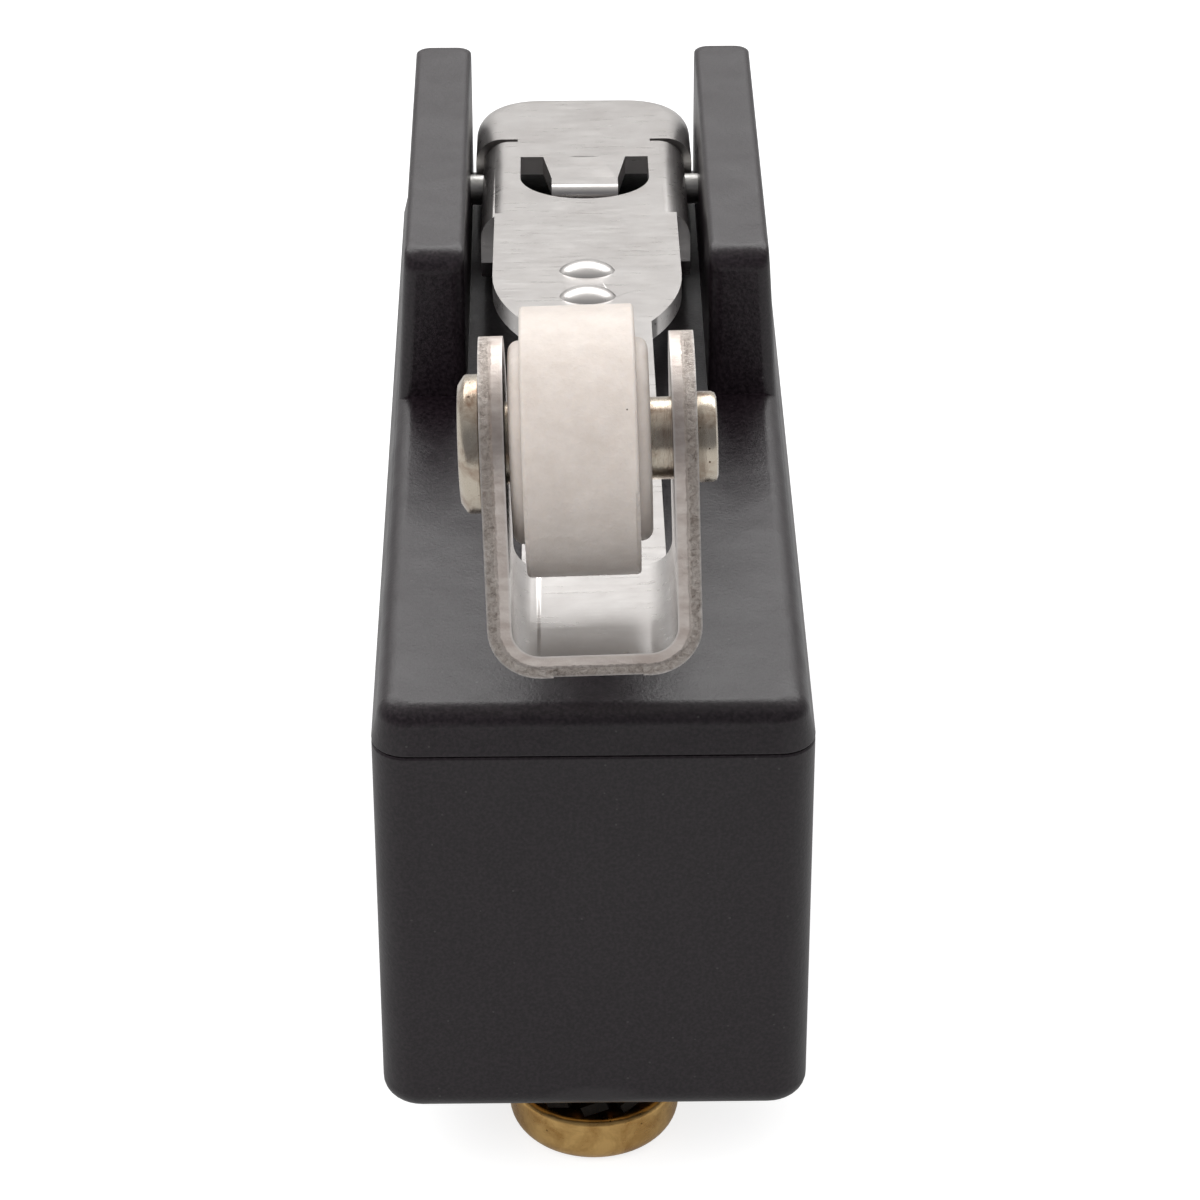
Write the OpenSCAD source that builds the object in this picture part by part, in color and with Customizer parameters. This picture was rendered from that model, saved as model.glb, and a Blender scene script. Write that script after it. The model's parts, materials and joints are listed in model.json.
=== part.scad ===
// Lever micro switch: snap-action switch with a long hinged roller lever.
// Millimetres. Origin midway between the two mounting holes, on the middle plane of the case.
// +X across the width, +Y towards the hinge of the lever, +Z up towards the lever.

/* [Case] */
// Overall length of the case
case_len = 49.2; // [48:0.2:56]
// Overall width of the case
case_w = 17.45; // [17.2:0.05:20]
// Height of the case from its underside to the joint with the cover
case_h = 17.6; // [17:0.1:20]
// Height of the mounting holes above the underside
hole_h = 4.4; // [3.8:0.1:5]
// Distance between the mounting holes
hole_pitch = 25.4; // [23:0.1:27]
// Diameter of the mounting holes
hole_d = 4.2; // [3.2:0.1:4.6]
// Radius of the upright corners of case and cover
corner_r = 1.45; // [0.8:0.05:2]
// Radius of the lower edges of the case
foot_r = 1.1; // [0.5:0.1:1.6]
// Thickness of the long walls round the inside
side_wall = 1.8; // [1.4:0.1:2]
// Thickness of the end walls round the inside
end_wall = 1.8; // [1.6:0.1:2]
// Plastic left between the mounting holes and the inside
hole_roof = 1.3; // [1:0.1:1.6]

/* [Cover] */
// Thickness of the cover
cover_t = 2; // [1.6:0.1:2.6]
// How much narrower the cover is on each side at its top
cover_draft = 0.22; // [0.05:0.01:0.35]
// Radius of the upper edges of the cover
cover_r = 0.9; // [0.5:0.1:1.2]
// Depth of the rim that locates the cover in the case
rim_h = 1; // [0.6:0.1:1.4]
// Thickness of the locating rim
rim_t = 1; // [0.7:0.1:1.2]
// Clearance between the rim and the walls of the case
rim_gap = 0.1; // [0.05:0.01:0.2]

/* [Guard ears] */
// Height of the ears above the cover
ear_h = 6.9; // [6.2:0.1:8]
// Length of the ears
ear_len = 22.6; // [20:0.2:25]
// Distance from the ears to the end of the case behind them
ear_back = 0.9; // [0.7:0.1:2]
// Distance from the side of the case to the foot of an ear
ear_inset = 0.345; // [0.24:0.005:0.5]
// Thickness of an ear at its foot
ear_t = 3.08; // [2.6:0.02:3.2]
// How much thinner an ear is at its top
ear_draft = 0.5; // [0.2:0.02:0.8]
// Radius of the upper edges of the ears
ear_r = 0.95; // [0.4:0.05:1.2]
// Radius of the upright edges of the ears
ear_corner_r = 0.6; // [0.3:0.05:1]

/* [Lever] */
// Tilt of the lever at rest, in degrees
lever_tilt = 6.5; // [5:0.1:7.5]
// Distance from the hinge to the end of the case behind it
hinge_back = 7.9; // [7.4:0.1:9]
// Height of the hinge above the cover
hinge_h = 2.45; // [2.3:0.05:3]
// Distance from the hinge to the roller along the lever
lever_len = 50.4; // [47:0.2:56]
// Thickness of the lever's sheet
sheet_t = 0.85; // [0.6:0.05:1]
// Height of the plate's upper face above the hinge
plate_h = 1.9; // [1.75:0.05:2.2]
// Width of the arm
arm_w = 5.3; // [4.4:0.1:5.6]
// Width of the plate
plate_w = 8.15; // [7.4:0.05:8.8]
// Distance from the hinge at which the plate's rounded end starts
plate_len = 16.5; // [15:0.1:18]
// Radius of the plate's rounded end
plate_end_r = 11.5; // [9:0.5:14]
// Gap between a hinge flange and the ear beside it
flange_gap = 0.6; // [0.5:0.05:0.75]
// Length of the hinge flanges in front of the hinge
flange_front = 8.6; // [6:0.1:9.5]
// Length of the hinge flanges behind the hinge
flange_back = 1.3; // [1.25:0.05:1.5]
// Depth of the hinge flanges below the hinge
flange_drop = 1.5; // [1.2:0.05:1.6]
// Inner radius of the lever's bends
bend_r = 0.35; // [0.2:0.05:0.5]
// Gap between the lever's tail and the ears
tail_gap = 0.225; // [0.15:0.025:0.4]
// Distance from the hinge to the end of the tail
tail_len = 8.4; // [8.2:0.1:9]
// Clearance under the tail, which stops the lever's return
stop_gap = 0.15; // [0.1:0.05:0.4]
// Radius of the tail's corners, seen from above
tail_corner_r = 3; // [2.6:0.1:3.6]
// Outer radius of the bend round the tail
tail_r = 1.2; // [1:0.1:1.8]
// Width of the slit between flange and tail
slit_w = 0.35; // [0.3:0.05:0.5]
// Length of the slit, inwards from the side of the flange
slit_len = 1.6; // [1.2:0.1:2]
// Width of the window in the plate
window_w = 5.9; // [5.4:0.1:6.4]
// Distance from the hinge to the near end of the window
window_end = 6.7; // [6.4:0.1:7.4]
// Distance from the hinge to the far end of the window
window_start = 0.9; // [0.8:0.1:1.4]
// Width of the tongue that presses the plunger, at its root
tongue_root_w = 3.8; // [3.2:0.1:4.4]
// Width of the tongue at its bent end
tongue_tip_w = 3; // [2.4:0.1:3.2]
// Distance from the hinge to the bent end of the tongue
tongue_len = 5.2; // [4.8:0.1:5.6]
// Depth of the tongue's bent end below the plate's upper face
tongue_drop = 1.35; // [1.3:0.05:1.6]
// Distance from the hinge to the first embossed rib
rib_start = 15.95; // [15:0.1:17]
// Distance between the two embossed ribs
rib_pitch = 3.1; // [2.6:0.1:3.6]
// Width of an embossed rib along the lever
rib_w = 1.55; // [1.2:0.05:1.8]
// Length of an embossed rib across the lever
rib_len = 2.1; // [1.7:0.1:3]
// Height of the embossed ribs
rib_h = 0.42; // [0.2:0.02:0.6]

/* [Roller bracket] */
// Outer width of the bracket
bracket_w = 7.5; // [7.4:0.05:8.4]
// Height of the axle above the plate's upper face
axle_h = 6.55; // [6.2:0.05:7.6]
// Radius of the bracket's rounded cheeks
cheek_r = 3.75; // [3.2:0.05:4.2]
// Inner radius of the bracket's bends
bracket_bend_r = 1; // [0.6:0.05:1.1]
// Sideways lean of the bracket with its roller, in degrees
bracket_lean = 1.5; // [0:0.25:2]

/* [Roller] */
// Diameter of the roller
roller_d = 9.5; // [8:0.1:10.5]
// Width of the roller's rim
rim_w = 4; // [3:0.1:4.4]
// Radius of the rim's edges
rim_edge_r = 0.15; // [0.05:0.05:0.4]
// Diameter of the roller's hub
hub_d = 7.15; // [6:0.05:7.6]
// Width over the roller's hub
hub_w = 4.9; // [4.5:0.05:5.2]
// Radius of the hub's edges
hub_edge_r = 0.4; // [0.1:0.05:0.45]
// How far the roller sits to the left of the middle
roller_shift = 0.3; // [0:0.05:0.3]
// Diameter of the axle
axle_d = 2.9; // [2:0.05:3.2]
// Diameter of the axle's head
axle_head_d = 4.9; // [4:0.1:5.6]
// Thickness of the axle's head
axle_head_t = 0.8; // [0.5:0.05:1]
// Length of the axle's riveted end beyond the bracket
axle_end_t = 0.75; // [0.5:0.05:1]
// Diameter of the axle's riveted end
axle_end_d = 3.3; // [3.25:0.05:4]
// Radial clearance of the turning parts
run_gap = 0.05; // [0.03:0.01:0.08]

/* [Plunger] */
// Diameter of the plunger
plunger_d = 3.8; // [3:0.1:4.2]
// Diameter of the plunger's collar
plunger_collar_d = 6; // [5:0.1:6.4]
// Thickness of the plunger's collar
plunger_collar_t = 1; // [0.7:0.1:1.2]
// Diameter of the plunger's tip
plunger_tip_d = 1.8; // [1.4:0.1:2]
// Outer diameter of the guide for the plunger
guide_d = 6.6; // [6:0.1:7]
// Height of the guide above the cover
guide_h = 1; // [0.6:0.1:1.2]
// Depth of the guide below the cover
guide_drop = 1; // [0.6:0.1:1.2]
// Distance that the lever presses the plunger down
plunger_travel = 0.9; // [0.8:0.01:0.95]
// Free play between lever and plunger at rest
plunger_play = 0.1; // [0.06:0.01:0.14]

/* [Snap mechanism] */
// Height of the blade above the floor of the case
blade_h = 3.6; // [3.3:0.1:4]
// Thickness of the blade
blade_t = 0.3; // [0.2:0.05:0.4]
// Gap between the blade and the cover's screw posts
blade_gap = 0.425; // [0.3:0.025:0.7]
// Distance from the far end of the case to the blade's pivot
pivot_back = 5.4; // [5.2:0.1:6]
// Distance from the near end of the case to the contacts
contact_front = 10.4; // [10:0.1:11.5]
// Width of the blade's middle finger
finger_w = 2.2; // [1.8:0.1:2.4]
// Gap between the blade's fingers
finger_gap = 0.5; // [0.4:0.05:0.6]
// Diameter of the contacts
contact_d = 3; // [2.4:0.1:3.4]
// Height of a contact above what it is riveted to
contact_t = 0.6; // [0.4:0.05:0.7]
// Open gap between the moving contact and the lower contact
contact_gap = 0.5; // [0.45:0.05:0.7]
// Width of the blade's and bridge's ends around a contact
blade_overlap = 0.4; // [0.2:0.05:0.5]
// Thickness of the anchor's sheet
tab_t = 0.8; // [0.6:0.05:0.9]
// Width of the anchor
anchor_w = 7.8; // [7:0.1:8.2]
// Distance from the blade's pivot to the near end of the anchor
anchor_len = 3.8; // [3.4:0.1:4.2]
// Distance from the blade's pivot to the anchor's slotted tab
tab_back = 2.3; // [2:0.1:2.4]
// Height of the anchor rivet's head
rivet_head_t = 0.5; // [0.3:0.05:0.6]
// Diameter of the contact rivets' shanks
rivet_d = 1.4; // [1:0.1:1.6]

/* [Terminals] */
// Distance from the end terminals' screws to the ends of the case
terminal_inset = 5.7; // [5.2:0.1:6.4]
// Thickness of the terminal strips
strip_t = 1; // [0.8:0.05:1.1]
// Width and length of the terminal plates
pad_w = 7.8; // [7.3:0.1:8]
// Width of the risers
riser_w = 4.2; // [3.4:0.1:4.6]
// Width of the strip that leads from the middle riser to the contact
arm_strip_w = 2.2; // [1.8:0.1:2.4]
// Nominal diameter of the terminal screws
screw_d = 4; // [3:0.1:4.2]
// Diameter of the screw heads
head_d = 7.2; // [6.4:0.1:7.6]
// Height of the screw heads
head_h = 2.4; // [2:0.1:3]
// Length of the screws below the head
screw_len = 5; // [4.4:0.1:5.2]
// Thickness of the toothed washers' sheet
washer_t = 0.5; // [0.4:0.05:0.6]
// Twist of the washers' teeth, in degrees
tooth_twist = 22; // [15:1:28]
// Width of a washer's tooth
tooth_w = 1.1; // [0.8:0.05:1.3]
// Outer diameter of the toothed washers
washer_d = 6.4; // [6:0.1:7.4]
// Number of teeth on a washer
washer_teeth = 12; // [8:1:14]
// Space for a washer between terminal and screw head
washer_space = 1.2; // [1.1:0.05:1.4]

/* [Small fasteners] */
// Diameter of the cover screws
cover_screw_d = 2; // [1.6:0.1:2.2]
// Diameter of the cover screws' heads
cover_head_d = 3.6; // [3:0.1:3.8]
// Height of the cover screws' heads
cover_head_h = 1.2; // [0.8:0.1:1.4]
// Diameter of the cover's screw posts
post_d = 3.2; // [2.9:0.1:3.3]
// Gap between the screw posts and the wall of the case
post_gap = 0.2; // [0.1:0.05:0.3]
// Diameter of the hinge pins
pin_d = 1.4; // [1.2:0.1:1.6]
// How far the hinge pins reach past the lever's flanges
pin_inset = 0.35; // [0.2:0.05:0.5]
// How far the hinge pins end below the outer face of the ears
pin_recess = 0.15; // [0.1:0.05:0.3]
// Clearance between pieces fixed to each other
fix_gap = 0.02; // [0.01:0.005:0.04]
// Clearance between pieces laid side by side
side_gap = 0.1; // [0.06:0.01:0.15]

/* [Hidden] */
$fn = 96;
// Overlap that makes two joined shapes one solid
eps = 0.01;

black = [0.13, 0.125, 0.13];
steel = [0.78, 0.75, 0.73];
brass = [0.74, 0.55, 0.29];
nickel = [0.82, 0.78, 0.68];
silver = [0.88, 0.88, 0.86];
bronze = [0.72, 0.45, 0.22];
nylon = [0.88, 0.84, 0.8];

// Levels and places of the housing
half_w = case_w / 2;
far_y = case_len / 2;
near_y = -far_y;
foot_z = -hole_h;
seam_z = foot_z + case_h;
top_z = seam_z + cover_t;
floor_z = hole_d / 2 + hole_roof;
cavity_w = case_w - 2 * side_wall;
cavity_near = near_y + end_wall;
cavity_far = far_y - end_wall;
ear_far = far_y - ear_back;
ear_near = ear_far - ear_len;
ear_top_z = top_z + ear_h;
ear_lean = ear_draft / ear_h;
ear_foot_w = case_w - 2 * ear_inset;
ear_top_w = ear_foot_w - 2 * ear_draft;
ear_gap = ear_foot_w - 2 * ear_t;
post_x = cavity_w / 2 - post_gap - post_d / 2;
post_y = hole_pitch / 4;

// Places of the lever, in its own frame
hinge_y = far_y - hinge_back;
hinge_z = top_z + hinge_h;
flange_w = ear_gap - 2 * flange_gap;
tail_w = ear_gap - 2 * tail_gap;
bend_outer_r = bend_r + sheet_t;
sheet_low = plate_h - sheet_t;
axle_z = plate_h + axle_h;
tongue_low = plate_h - tongue_drop;
tongue_y = tongue_len - sheet_t / 2;
tail_low = (stop_gap - hinge_h + tail_len * sin(lever_tilt)) / cos(lever_tilt);
slit_x = flange_w / 2 - slit_len;

// Places of the plunger, which stands under the bent end of the tongue
plunger_y = hinge_y - tongue_y * cos(lever_tilt) + tongue_low * sin(lever_tilt);
plunger_top = hinge_z + (tongue_len - sheet_t) * sin(lever_tilt)
    + tongue_low * cos(lever_tilt) - plunger_play;
guide_low = seam_z - guide_drop;
collar_top = guide_low - side_gap;

// Levels of the mechanism
blade_z = floor_z + blade_h;
blade_w = 2 * (post_x - post_d / 2 - blade_gap);
strip_top = floor_z + strip_t;
pivot_y = far_y - pivot_back;
contact_y = near_y + contact_front;
anchor_y = pivot_y - anchor_len;
anchor_rivet_y = pivot_y - anchor_len / 2;
rear_tab_y = pivot_y + tab_back;
no_contact_top = blade_z - blade_t - contact_t - contact_gap;
nc_contact_low = blade_z + contact_t + side_gap / 2;
bridge_z = nc_contact_low + contact_t;
tip_low = blade_z + plunger_travel - side_gap / 2;

// Levels and places of the terminals
terminal_y = far_y - terminal_inset;
pad_z = foot_z - strip_t;
head_z = pad_z - washer_space;
screw_top = head_z + screw_len;
no_riser_y = cavity_near + side_gap;
com_riser_y = cavity_far - side_gap;
nc_riser_x = cavity_w / 2 - side_gap;
cover_seat_z = foot_z + cover_head_h + 3 * side_gap;

// Flat outlines -----------------------------------------------------------

// Rectangle with round corners, centred
module round_rect(w, l, r) {
    square([w - 2 * r, l], center = true);
    square([w, l - 2 * r], center = true);
    for (x = [-1, 1], y = [-1, 1])
        translate([x * (w / 2 - r), y * (l / 2 - r)]) circle(r);
}

// Upright outline between two levels, with round upper corners
module arch(w, low, top, r) {
    translate([-w / 2, low]) square([w, top - r - low]);
    translate([-w / 2 + r, low]) square([w - 2 * r, top - low]);
    for (x = [-1, 1]) translate([x * (w / 2 - r), top - r]) circle(r);
}

// Section of a sheet bent down on both sides
module channel(w, low, top, r, t) {
    difference() {
        arch(w, low, top, r);
        arch(w - 2 * t, low - eps, top - t, r - t);
    }
}

// Solid tools -------------------------------------------------------------

// Extrudes an outline drawn in X and Z along Y, from y0 to y1
module along_y(y0, y1) {
    translate([0, y1, 0]) rotate([90, 0, 0]) linear_extrude(y1 - y0) children();
}

// Extrudes an outline drawn in Y and Z along X, from x0 to x1
module along_x(x0, x1) {
    translate([x0, 0, 0]) rotate([90, 0, 90]) linear_extrude(x1 - x0) children();
}

module block(x0, x1, y0, y1, z0, z1) {
    translate([x0, y0, z0]) cube([x1 - x0, y1 - y0, z1 - z0]);
}

module post(x, y, z0, z1, d) {
    translate([x, y, z0]) cylinder(h = z1 - z0, d = d);
}

module cross_rod(y, z, x0, x1, d) {
    translate([x0, y, z]) rotate([0, 90, 0]) cylinder(h = x1 - x0, d = d);
}

// Box-like solid with drafted sides and round upper edges, the size of the case in plan
module in_case_plan(z0, z1) {
    translate([0, 0, z0]) linear_extrude(z1 - z0) round_rect(case_w, case_len, corner_r);
}

// Both sides of what is symmetrical about the middle plane
module both_sides() {
    children();
    mirror([1, 0, 0]) children();
}

// Places what is drawn in the lever's own flat frame, with the hinge at its origin
module on_lever() {
    translate([0, hinge_y, hinge_z]) rotate([-lever_tilt, 0, 0]) children();
}

// Leans what the bracket carries to the left, about the middle of the arm's underside
module leaning() {
    translate([0, 0, sheet_low]) rotate([0, -bracket_lean, 0]) translate([0, 0, -sheet_low])
        children();
}

// Cross recess in a screw head, opening downwards at z = 0
module cross_recess(d, depth) {
    for (a = [0, 90]) rotate([0, 0, a])
        block(-d / 4, d / 4, -d / 12, d / 12, -eps, depth);
}

// Case --------------------------------------------------------------------

// Section of the case: upright sides and round lower corners
module case_section(w) {
    mirror([0, 1]) arch(w, -seam_z, -foot_z, foot_r);
}

module case_body() {
    intersection() {
        in_case_plan(foot_z, seam_z);
        along_y(near_y, far_y) case_section(case_w);
        along_x(-half_w, half_w) case_section(case_len);
    }
}

// Slot through the floor for a riser
module riser_slot(x0, x1, y0, y1) {
    block(x0 - fix_gap, x1 + fix_gap, y0 - fix_gap, y1 + fix_gap, foot_z - eps, floor_z + eps);
}

module cover_screw_places() {
    translate([-post_x, -post_y, 0]) children();
    translate([post_x, post_y, 0]) children();
}

module case() {
    color(black) difference() {
        case_body();
        block(-cavity_w / 2, cavity_w / 2, cavity_near, cavity_far, floor_z, seam_z + eps);
        for (y = [-hole_pitch / 2, hole_pitch / 2])
            cross_rod(y, 0, -half_w - eps, half_w + eps, hole_d);
        for (y = [-terminal_y, 0, terminal_y])
            post(0, y, foot_z - eps, screw_top + 4 * side_gap, screw_d + 4 * side_gap);
        riser_slot(-riser_w / 2, riser_w / 2, no_riser_y, no_riser_y + strip_t);
        riser_slot(-riser_w / 2, riser_w / 2, com_riser_y - strip_t, com_riser_y);
        riser_slot(nc_riser_x - strip_t, nc_riser_x, -riser_w / 2, riser_w / 2);
        cover_screw_places() {
            post(0, 0, foot_z - eps, cover_seat_z, cover_head_d + 4 * side_gap);
            post(0, 0, foot_z, floor_z + eps, cover_screw_d + 4 * side_gap);
        }
    }
}

// Cover -------------------------------------------------------------------

// Section of the cover: drafted sides and round upper corners
module cover_section(w) {
    top_w = w - 2 * cover_draft;
    edge_z = top_z - cover_r;
    polygon([[-w / 2, seam_z], [w / 2, seam_z], [top_w / 2, edge_z], [-top_w / 2, edge_z]]);
    arch(top_w, edge_z - eps, top_z, cover_r);
}

module cover_plate() {
    intersection() {
        in_case_plan(seam_z, top_z);
        along_y(near_y, far_y) cover_section(case_w);
        along_x(-half_w, half_w) cover_section(case_len);
    }
}

module locating_rim() {
    w = cavity_w - 2 * rim_gap;
    l = cavity_far - cavity_near - 2 * rim_gap;
    difference() {
        block(-w / 2, w / 2, -l / 2, l / 2, seam_z - rim_h, seam_z + eps);
        block(-w / 2 + rim_t, w / 2 - rim_t, -l / 2 + rim_t, l / 2 - rim_t,
            seam_z - rim_h - eps, seam_z + 2 * eps);
    }
}

// Section of the right ear: its outer face leans inwards
module ear_section() {
    low_z = top_z - cover_r - side_gap;
    edge = ear_r / 4;
    polygon([
        [ear_gap / 2, low_z], [ear_foot_w / 2, low_z], [ear_foot_w / 2, top_z],
        [ear_top_w / 2 + edge * ear_lean, ear_top_z - edge],
        [ear_top_w / 2 - edge, ear_top_z],
        [ear_gap / 2 + edge, ear_top_z], [ear_gap / 2, ear_top_z - edge]
    ]);
}

module ear() {
    intersection() {
        along_y(ear_near, ear_far) ear_section();
        translate([0, (ear_near + ear_far) / 2, 0]) along_x(0, half_w)
            arch(ear_len, seam_z, ear_top_z, ear_r);
        translate([(ear_gap + ear_foot_w) / 4, (ear_near + ear_far) / 2, seam_z])
            linear_extrude(ear_top_z - seam_z + eps)
                round_rect((ear_foot_w - ear_gap) / 2, ear_len, ear_corner_r);
    }
}

module cover() {
    color(black) difference() {
        union() {
            cover_plate();
            locating_rim();
            both_sides() ear();
            post(0, plunger_y, guide_low, top_z + guide_h, guide_d);
            cover_screw_places() post(0, 0, floor_z + side_gap, seam_z + eps, post_d);
        }
        post(0, plunger_y, guide_low - eps, top_z + guide_h + eps, plunger_d + 2 * run_gap);
        cover_screw_places() post(0, 0, floor_z, seam_z - rim_h, cover_screw_d + 2 * fix_gap);
        cross_rod(hinge_y, hinge_z, -half_w, half_w, pin_d + 2 * fix_gap);
    }
}

// Lever, drawn flat with the hinge at the origin and the roller towards -Y ---------

// Flat plate with its round end, and the arm
module plate_and_arm() {
    arm_end = cheek_r - lever_len - eps;
    end_x = plate_end_r - plate_w / 2;
    translate([0, 0, sheet_low]) linear_extrude(sheet_t) {
        translate([-plate_w / 2, -plate_len])
            square([plate_w, plate_len - flange_front + eps]);
        intersection() {
            translate([-end_x, -plate_len]) circle(plate_end_r);
            translate([end_x, -plate_len]) circle(plate_end_r);
        }
        translate([-arm_w / 2, arm_end]) square([arm_w, -plate_len - arm_end]);
    }
}

// Middle part: the plate with the two hinge flanges bent down
module hinge_channel() {
    difference() {
        along_y(-flange_front, flange_back)
            channel(flange_w, -flange_drop, plate_h, bend_outer_r, sheet_t);
        translate([0, -flange_front, -flange_drop]) rotate([45, 0, 0])
            cube([flange_w + eps, flange_drop, flange_drop], center = true);
        cross_rod(0, 0, -flange_w, flange_w, pin_d + 2 * run_gap);
    }
}

// Round-edged block that fills the tail's outline, the given distance inside it
module tail_block(inset, low, start_y) {
    w = tail_w - 2 * inset;
    end_y = tail_len - inset;
    r = tail_r - inset;
    edge_z = plate_h - tail_r;
    corner = tail_corner_r - inset;
    middle_y = end_y - corner;
    along_y(start_y, middle_y) arch(w, low, plate_h - inset, r);
    translate([0, middle_y - eps, 0]) intersection() {
        along_x(corner - w / 2, w / 2 - corner)
            arch(2 * (corner + eps), low, plate_h - inset, r);
        block(-w, w, 0, w, low, plate_h);
    }
    for (x = [-1, 1]) translate([x * (w / 2 - corner), middle_y, 0]) rotate_extrude()
        intersection() {
            arch(2 * corner, low, plate_h - inset, r);
            translate([0, low]) square([corner, plate_h - low]);
        }
}

module tail() {
    start_y = flange_back + slit_w;
    difference() {
        tail_block(0, tail_low, start_y);
        tail_block(sheet_t, tail_low - eps, start_y - eps);
    }
    block(-slit_x, slit_x, 0, start_y + sheet_t, sheet_low, plate_h);
}

// Outline of the window: straight towards the hinge, round towards the roller
module window() {
    r = window_w / 2;
    translate([0, 0, sheet_low - eps]) linear_extrude(sheet_t + 2 * eps) {
        translate([-r, r - window_end]) square([window_w, window_end - r - window_start]);
        translate([0, r - window_end]) circle(r);
    }
}

// Tongue that presses the plunger with its bent end
module tongue() {
    bend_y = bend_outer_r - tongue_len;
    translate([0, 0, sheet_low]) linear_extrude(sheet_t) polygon([
        [-tongue_root_w / 2, eps - window_start], [tongue_root_w / 2, eps - window_start],
        [tongue_tip_w / 2, bend_y], [-tongue_tip_w / 2, bend_y]
    ]);
    along_x(-tongue_tip_w / 2, tongue_tip_w / 2) {
        intersection() {
            translate([bend_y, plate_h - bend_outer_r]) difference() {
                circle(bend_outer_r);
                circle(bend_r);
            }
            translate([bend_y - bend_outer_r, plate_h - bend_outer_r])
                square(bend_outer_r + eps);
        }
        translate([-tongue_len, tongue_low])
            square([sheet_t, plate_h - bend_outer_r - tongue_low + eps]);
    }
}

// Round ridge with round ends across the arm, pressed through from below
module rib(y, z) {
    r = (pow(rib_w / 2, 2) + pow(rib_h, 2)) / 2 / rib_h;
    intersection() {
        cross_rod(y, z + rib_h - r, -rib_len / 2, rib_len / 2, 2 * r);
        translate([0, y, z - eps]) linear_extrude(2 * rib_h)
            round_rect(rib_len, rib_w, rib_w / 2 - eps);
    }
}

module bracket() {
    outer_r = bracket_bend_r + sheet_t;
    intersection() {
        along_y(-lever_len - cheek_r, -lever_len + cheek_r) mirror([0, 1])
            channel(bracket_w, -axle_z - cheek_r, -sheet_low, outer_r, sheet_t);
        along_x(-bracket_w / 2, bracket_w / 2) {
            translate([-lever_len, axle_z]) circle(cheek_r);
            translate([-lever_len - cheek_r, sheet_low])
                square([2 * cheek_r, axle_z - sheet_low]);
        }
    }
}

module lever() {
    color(steel) on_lever() difference() {
        union() {
            difference() {
                union() {
                    plate_and_arm();
                    hinge_channel();
                    tail();
                }
                window();
            }
            tongue();
            for (i = [0, 1]) rib(-rib_start - i * rib_pitch, plate_h);
            leaning() bracket();
        }
        for (i = [0, 1]) translate([0, 0, -eps]) rib(-rib_start - i * rib_pitch, sheet_low);
        leaning() cross_rod(-lever_len, axle_z, -bracket_w, bracket_w, axle_d + 2 * fix_gap);
    }
}

module hinge_pin(side) {
    inner_x = flange_w / 2 - sheet_t - pin_inset;
    outer_x = ear_foot_w / 2 - hinge_h * ear_lean - pin_recess;
    color(steel) scale([side, 1, 1]) cross_rod(hinge_y, hinge_z, inner_x, outer_x, pin_d);
}

// Roller and axle, drawn about their own axis along X ---------------------

// Disc with round edges, centred on the origin
module round_disc(d, w, r) {
    rotate_extrude() intersection() {
        round_rect(d, w, r);
        translate([0, -w]) square([d, 2 * w]);
    }
}

module roller() {
    color(nylon) on_lever() leaning() translate([-roller_shift, -lever_len, axle_z])
        rotate([0, 90, 0]) difference() {
            union() {
                round_disc(roller_d, rim_w, rim_edge_r);
                round_disc(hub_d, hub_w, hub_edge_r);
            }
            cylinder(h = 2 * hub_w, d = axle_d + 2 * run_gap, center = true);
        }
}

module roller_axle() {
    head_x = -bracket_w / 2 - axle_head_t;
    bevel = axle_head_t / 3;
    color(nickel) on_lever() leaning() translate([0, -lever_len, axle_z]) {
        cross_rod(0, 0, head_x + eps, bracket_w / 2 + eps, axle_d);
        translate([bracket_w / 2, 0, 0]) rotate([0, 90, 0])
            cylinder(h = axle_end_t, d1 = axle_d, d2 = axle_end_d);
        translate([head_x, 0, 0]) rotate([0, 90, 0]) {
            cylinder(h = bevel, d1 = axle_head_d - 2 * bevel, d2 = axle_head_d);
            translate([0, 0, bevel]) cylinder(h = axle_head_t - bevel, d = axle_head_d);
        }
    }
}

// Plunger -----------------------------------------------------------------

module plunger() {
    dome_r = plunger_d;
    color(black) translate([0, plunger_y, 0]) {
        post(0, 0, tip_low, collar_top, plunger_tip_d);
        post(0, 0, collar_top - plunger_collar_t, collar_top, plunger_collar_d);
        intersection() {
            post(0, 0, collar_top - eps, plunger_top, plunger_d);
            translate([0, 0, plunger_top - dome_r]) sphere(dome_r);
        }
    }
}

// Snap mechanism ----------------------------------------------------------

// Spring blade: two outer fingers that pivot in the anchor and a middle finger held behind it
module snap_blade() {
    rail_x = finger_w / 2 + finger_gap;
    tip_y = contact_y - contact_d / 2 - blade_overlap;
    root_y = contact_y + contact_d / 2 + blade_overlap;
    color(bronze) translate([0, 0, blade_z - blade_t]) linear_extrude(blade_t) difference() {
        union() {
            translate([-blade_w / 2, tip_y]) square([blade_w, pivot_y - tip_y]);
            translate([-finger_w / 2, root_y])
                square([finger_w, rear_tab_y + tab_t / 2 - root_y]);
        }
        for (x = [-rail_x, finger_w / 2]) translate([x, root_y])
            square([finger_gap, pivot_y - root_y + eps]);
        translate([0, contact_y]) circle(d = rivet_d + 2 * fix_gap);
    }
}

module moving_contact() {
    color(silver) translate([0, contact_y, 0]) {
        post(0, 0, blade_z, blade_z + contact_t, contact_d);
        post(0, 0, blade_z - blade_t - contact_t, blade_z - blade_t, contact_d);
        post(0, 0, blade_z - blade_t - eps, blade_z + eps, rivet_d);
    }
}

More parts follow.
